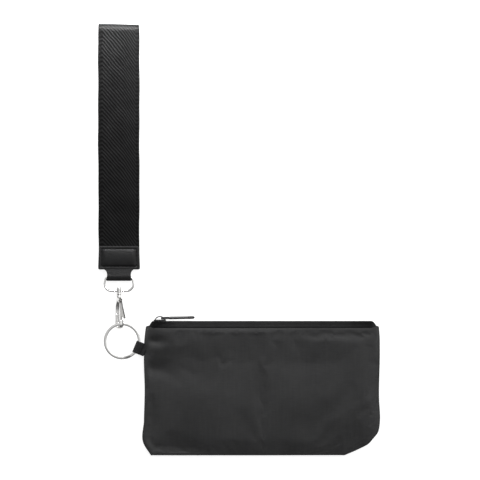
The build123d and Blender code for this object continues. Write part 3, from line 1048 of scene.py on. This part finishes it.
def add_hook():
    """Cast hook body: turned collar, curved spine, eye and nose, and two cheeks beside the gate."""
    spine_u, nose_u, eye_y = -2.5, 4.5, 51.4
    spine_y = np.linspace(hook_high[1] - 1.6, eye_y, 160)
    bends = [(eye_y, spine_u), (58.0, spine_u), (63.5, -2.45), (66.5, -2.0), (69.4, -1.0), (73.9, 0.0)]
    spine = joined(smooth_curve(bends, spine_y), spine_y)
    turn = np.linspace(pi, 2 * pi, 80)
    reach = (nose_u - spine_u) / 2
    eye = joined(
        spine_u + reach + reach * rounded_power(np.cos(turn), 0.72),
        eye_y + 3.5 * rounded_power(np.sin(turn), 0.72),
    )
    nose = line((nose_u, eye_y), (nose_u, 54.7), 24)
    path = respaced(np.concatenate([spine[:-1], eye, nose[1:]]), 420)
    run = path_run(path)
    line_at = hook_high[1] - 1.6 - 58.6
    line_cut = 0.16 * np.exp(-(((run - line_at) / 0.16) ** 2))
    swell = 0.14 * eased(line_at, line_at + 0.4, run)
    half_across = np.interp(run, (0.0, 3.5, 9.0, 22.0, 25.0, run[-1]), (1.85, 1.7, 1.0, 0.95, 0.8, 0.7))
    half_through = np.interp(run, (0.0, 6.0, 24.0, run[-1]), (1.85, 1.75, 1.75, 1.6))
    half_across += swell * 0.5 - line_cut
    half_through += swell - line_cut
    body = rounded_bar(hook_plane, path, half_across, half_through)

    cheek_path = respaced(line((-0.4, 71.6), gate_pivot, 60), 40)
    cheeks = [rounded_bar(hook_plane, cheek_path, 1.5, 0.39, offset) for offset in (-1.42, 1.42)]

    profile = np.array([
        (70.6, 0.9), (71.2, 1.75), (72.0, 2.0), (73.6, 2.0), (73.85, 1.7),
        (74.15, 1.7), (74.4, 2.1), (75.1, 2.1), (75.35, 1.85), (75.4, 1.1),
    ])
    collar_path = joined(strap_x, profile[:, 0], hook_axis_z)
    radii = profile[:, 1:2]
    collar = sweep(collar_path, np.array([1.0, 0.0, 0.0]) * radii, upright * radii, circle(1.0, 32))
    points, faces = combined([body, *cheeks, collar])
    attach(mesh_piece("hook_body_metal", points, faces, plating), "hook", "hook_body")


# ---- zip pull
pull_lean = radians(1.2)
pull_roll = radians(11.0)
pull_pivot = np.array([-79.9, 55.75, chain_z])


def add_pull():
    """Flat cast pull: a cross bar and two prongs round the crown, a blade and an eye at its end."""
    along = np.array([cos(pull_lean), sin(pull_lean), 0.0])
    across = cos(pull_roll) * upright - sin(pull_roll) * np.cross(upright, along)
    plane = (pull_pivot, along, across, np.cross(along, across))
    prongs = [
        rounded_bar(plane, respaced(line((-0.2, side * 2.15), (7.4, side * 2.05), 60), 40), 0.52, 0.55)
        for side in (-1, 1)
    ]
    cross_bar = rounded_bar(plane, respaced(line((0.0, -2.4), (0.0, 2.4), 60), 40), 0.48, 0.48)
    blade_path = respaced(line((5.8, 0.0), (21.4, 0.0), 60), 60)
    blade = rounded_bar(plane, blade_path, np.linspace(2.65, 2.15, 60), 0.85, squareness=0.55)
    eye_turn = np.radians(np.linspace(90.0, -90.0, 30))
    eye_end = joined(24.3 + 1.45 * np.cos(eye_turn), 1.45 * np.sin(eye_turn))
    upper_side = line((20.0, 1.45), eye_end[0], 30)
    lower_side = line(eye_end[-1], (20.0, -1.45), 30)
    eye_path = np.concatenate([upper_side, eye_end, lower_side[1:]])
    eye = rounded_bar(plane, respaced(eye_path, 110), 0.66, 0.82)
    points, faces = combined([*prongs, cross_bar, blade, eye])
    attach(mesh_piece("pull_metal", points, faces, blackened), "pull", "pull_tab")


# ---- wrist strap
web_skin = 1.35


def web_outline():
    """The strap seen from its side: out along the table, round the fold and back over the top."""
    fold_reach = 6.6
    fold_y = web_high[1] - fold_reach
    fold_top = web_high[2] - 0.3
    y = np.linspace(tab_low[1] + 11.0, fold_y, 170)
    lower = joined(y, 0.95 * (1 - eased(tab_high[1] + 1.0, tab_high[1] + 15.0, y)) + 0.02)
    turn = np.linspace(-pi / 2, pi / 2, 26)[1:-1]
    bow = (fold_top - 0.02) / 2
    fold = joined(fold_y + fold_reach * np.cos(turn), 0.02 + bow + bow * np.sin(turn))
    arch = [
        (tab_low[1] + 11.0, 3.65), (tab_high[1] + 0.6, 3.75), (tab_high[1] + 12.0, 5.0),
        (165.0, 9.2), (205.0, 11.6), (245.0, 11.9), (270.0, 11.0), (fold_y, fold_top),
    ]
    y = np.linspace(fold_y, tab_low[1] + 11.0, 190)
    return np.concatenate([lower, fold, joined(y, smooth_curve(arch, y))])


def add_webbing():
    path = web_outline()
    width = web_high[0] - web_low[0]
    t = np.linspace(-1.0, 1.0, 29)
    across = np.sin(t * pi / 2) * 0.35 + t * 0.65
    x = -across * width / 2
    selvage = width / 2 - np.abs(x)
    y, z = path[:, 0, None], path[:, 1, None]
    wobble = 0.18 * np.sin(y / 7.3) * np.sin(y / 19.0 + 1.0)
    skew = 0.024 * (x + width / 2) * eased(web_high[1] - 40.0, web_high[1], y)
    upper = eased(tab_high[1] + 10.0, tab_high[1] + 60.0, y) * (z > 3.0)
    sag = 0.5 * (x / (width / 2)) ** 2 * upper
    grid = joined(strap_x + x + wobble, y - skew, z - sag)
    groove = 0.22 * np.exp(-(((selvage - 1.9) / 0.45) ** 2))
    grid = grid - grid_normals(grid) * groove[None, :, None]
    skin = web_skin * (1 - 0.30 * np.exp(-((selvage / 0.7) ** 2)))
    uvs = length_uvs(grid)
    uvs[:, :, 0] = (x + width / 2)[None, :]
    uvs[:, :, 1] = uvs[:, 14:15, 1]
    piece = cloth_piece("wrist_webbing", grid, np.broadcast_to(skin, grid.shape[:2]), web_weave, uvs)
    attach(piece, "strap", "strap_webbing")


def rounded_half_width(y, low, high, half_low, half_high, corner):
    """Half the width of a rounded rectangle whose sides lean from half_low to half_high."""
    straight = half_low + (half_high - half_low) * (y - low) / (high - low)
    from_end = np.clip(np.minimum(y - low, high - y), 0.0, corner)
    return straight - corner + np.sqrt(np.maximum(corner**2 - (corner - from_end) ** 2, 0.0))


cap_low_y = bail_bar_y + 6.8
cap_high_y = tab_high[1]
cap_seam_inset = 2.5


def add_cap():
    """The domed cap over the strap's ends, with a groove where it is stitched."""
    corner = 1.5
    t = np.linspace(0.0, 1.0, 64)
    y = cap_low_y + (cap_high_y - cap_low_y) * (0.5 - 0.5 * np.cos(pi * t)) ** 0.92
    s = np.linspace(-1.0, 1.0, 91)
    s = np.sin(s * pi / 2) * 0.45 + s * 0.55
    half = rounded_half_width(y, cap_low_y, cap_high_y, 16.8, 16.15, corner)
    x = half[:, None] * s[None, :]
    y = np.broadcast_to(y[:, None], x.shape)
    to_side = half[:, None] - np.abs(x)
    to_end = np.minimum(y - cap_low_y, cap_high_y - y)
    rim = np.minimum(to_side, to_end)
    rounding = 0.75
    edge = 1 - np.clip(rim / rounding, 0.0, 1.0)
    shoulder = np.sqrt(np.maximum(1 - edge**2, 0.0))
    climb = (y - cap_low_y - cap_seam_inset) / (cap_high_y - cap_low_y - 2 * cap_seam_inset)
    arched = np.clip(4 * climb * (1 - climb), 0.0, 1.0) ** 0.75
    puff = arched * eased(cap_seam_inset - 0.2, cap_seam_inset + 3.0, to_side)
    groove = np.exp(-(((rim - cap_seam_inset) / 0.5) ** 2))
    top = 2.55 + 1.95 * shoulder + 1.15 * puff - 0.38 * groove
    under = 2.35 - 2.2 * shoulder
    upper = joined(strap_x + x, y, top)
    lower = joined(strap_x + x, y, under)
    index = np.arange(x.size).reshape(x.shape)
    faces = facing_grids(index, x.size)
    around = np.concatenate([index[0, :], index[1:, -1], index[-1, -2::-1], index[-2:0:-1, 0]])
    for k in range(len(around)):
        a, b = around[k], around[(k + 1) % len(around)]
        faces.append((b, a, x.size + a, x.size + b))
    points = np.concatenate([upper.reshape(-1, 3), lower.reshape(-1, 3)])
    uvs = points[:, :2] + 150.0
    cap = mesh_piece("strap_cap", points, faces, cap_weave, uvs)
    attach(cap, "strap", "strap_tab")


def add_tongue():
    """The cap's tongue: a strip that runs out over the bail's bar, round it and back under."""
    middle_z = (bail_low[2] + bail_high[2]) / 2
    wrap_r = bail_wire_r + 1.05
    roll = 1.9
    wrap_top = (bail_bar_y + roll - 0.3, middle_z + wrap_r)
    wrap_end = (bail_bar_y + 0.4, middle_z - wrap_r)
    path = np.concatenate([
        line((cap_low_y + 2.5, 4.2), (cap_low_y, 4.5), 6),
        line((cap_low_y, 4.5), wrap_top, 16),
        arc(bail_bar_y + roll - 0.3, middle_z, wrap_r + roll, wrap_r, 90.0, 180.0, 20),
        arc(bail_bar_y - 0.3, middle_z, wrap_r, wrap_r, 180.0, 280.0, 16)[1:],
        line(wrap_end, (cap_low_y + 2.5, 0.5), 20)[1:],
    ])
    flare = 1.7 * np.exp(-((np.maximum(cap_low_y - path[:, 0], 0.0) / 0.9) ** 1.3))
    waist = -0.5 * np.exp(-(((path[:, 0] - cap_low_y + 4.2) / 2.2) ** 2))
    half = 9.6 + flare + waist
    t = np.linspace(-1.0, 1.0, 25)
    tongue = joined(strap_x - half[:, None] * np.sin(t * pi / 2), path[:, 0, None], path[:, 1, None])
    piece = cloth_piece("strap_tongue", tongue, 0.8, cap_weave)
    attach(piece, "strap", "strap_tab")


def add_stitches():
    """Stitches along the four sides of the cap's groove."""
    seam_half = 16.45 - cap_seam_inset
    x_left, x_right = strap_x - seam_half, strap_x + seam_half
    y_low, y_high = cap_low_y + cap_seam_inset, cap_high_y - cap_seam_inset
    z = 4.15
    corners = [(x_left, y_low, z), (x_right, y_low, z), (x_right, y_high, z), (x_left, y_high, z)]
    ends = zip(corners, corners[1:] + corners[:1])
    points, faces = combined([stitch_row(start, end) for start, end in ends])
    stitches = mesh_piece("strap_stitches", points, faces, sewing)
    attach(stitches, "strap", None)


# ---- the object
satin = satin_nylon()
inner_cloth = lining_cloth()
tape_weave = zip_tape_cloth()
web_weave = twill_webbing()
cap_weave = tab_cloth()
loop_weave = grosgrain()
sewing = thread()
nylon = coil_nylon()
plating = nickel("bright_nickel", (0.68, 0.675, 0.665), (0.78, 0.775, 0.765))
# painted shade: the same nickel made much darker, for the gate, which sits in shadow
shaded_plating = nickel("shaded_nickel", (0.26, 0.255, 0.25), (0.40, 0.395, 0.385))
spring_metal = dark_steel()
blackened = black_metal()

cad_finishes = {
    "bottom_stop": blackened,
    "slider_body": blackened,
    # the gate takes the darker nickel copy, its painted shade
    "slider_crown": blackened,
    "gate": shaded_plating,
    "gate_pin": plating,
    "gate_spring": spring_metal,
    "swivel_post": plating,
    "bail": plating,
}
for node, finish in cad_finishes.items():
    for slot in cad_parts[node].material_slots:
        slot.material = finish

front_surface = add_panels()
add_tapes(front_surface)
add_coils()
add_top_stops()
add_side_loop()
add_split_ring()
add_hook()
add_pull()
add_webbing()
add_cap()
add_tongue()
add_stitches()


# ---- floor and light
def pale_floor():
    """Faintly grained white that glows a little, so that it reads as a lit table."""
    shader = Shader("pale_floor")
    grain = shader.noise(shader.object_mm(), 4.0)
    colour = shader.colours(grain, (0.36, 0.36, 0.36), (0.38, 0.38, 0.38))
    shader.surface.inputs["Emission Color"].default_value = (1.0, 1.0, 1.0, 1.0)
    return shader.finish(colour, 0.7, Specular_IOR_Level=0.1, Emission_Strength=0.84)


def add_floor():
    """A pale round floor that turns up into a low wall far from the object."""
    flat_radius, wall_radius, wall_height = 2.4, 3.0, 0.42
    bend = np.linspace(0.0, pi / 2, 10)
    radii = np.concatenate([[0.3], flat_radius + (wall_radius - flat_radius) * np.sin(bend)])
    heights = np.concatenate([[0.0], wall_height * (1 - np.cos(bend))])
    sides = 96
    rim = circle(1.0, sides)
    points, faces = [], [tuple(range(sides))]
    for radius, height in zip(radii, heights):
        points.append(joined(*(radius * rim.T), height))
    for inner in range(0, (len(radii) - 1) * sides, sides):
        outer = inner + sides
        for k in range(sides):
            n = (k + 1) % sides
            faces.append((inner + k, outer + k, outer + n, inner + n))
    mesh_piece("floor", np.concatenate(points) / mm, faces, pale_floor())


def add_area(name, place, aim, size, power):
    light = bpy.data.lights.new(name, "AREA")
    light.shape = "RECTANGLE"
    light.size, light.size_y = size
    light.energy = power
    lamp = bpy.data.objects.new(name, light)
    lamp.location = place
    lamp.rotation_euler = (Vector(aim) - Vector(place)).to_track_quat("-Z", "Y").to_euler()
    lamp.visible_camera = False
    bpy.context.scene.collection.objects.link(lamp)


def add_world():
    """A studio that is bright towards +Y and overhead, dim towards -Y and dark at its walls.

    Each shade is an axis, the two places between which the light changes, and its two strengths.
    """
    world = bpy.data.worlds.new("studio")
    bpy.context.scene.world = world
    world.use_nodes = True
    nodes, links = world.node_tree.nodes, world.node_tree.links
    place = nodes.new("ShaderNodeTexCoord")
    split = nodes.new("ShaderNodeSeparateXYZ")
    links.new(place.outputs["Generated"], split.inputs[0])

    strength = None
    shades = [
        (1, -0.38, 0.24, 0.16, 1.30),
        (2, 0.25, 0.58, 0.05, 1.0),
        (0, -0.5, 0.5, 0.55, 1.35),
    ]
    for axis, *limits in shades:
        shade = nodes.new("ShaderNodeMapRange")
        shade.interpolation_type = "SMOOTHSTEP"
        links.new(split.outputs[axis], shade.inputs["Value"])
        for socket, limit in zip(RANGE_SOCKETS, limits):
            shade.inputs[socket].default_value = limit
        if strength is None:
            strength = shade.outputs[0]
            continue
        product = nodes.new("ShaderNodeMath")
        product.operation = "MULTIPLY"
        links.new(strength, product.inputs[0])
        links.new(shade.outputs[0], product.inputs[1])
        strength = product.outputs[0]
    nodes["Background"].inputs["Color"].default_value = (1.0, 1.0, 1.0, 1.0)
    links.new(strength, nodes["Background"].inputs["Strength"])


object_centre = (-0.016, 0.118, 0.0)
add_floor()
add_world()
add_area("key", (0.95, 1.10, 1.35), object_centre, (1.2, 0.8), 14.0)
add_area("beyond_strap", (-0.115, 0.44, 0.13), (-0.115, 0.27, 0.0), (0.16, 0.05), 2.1)
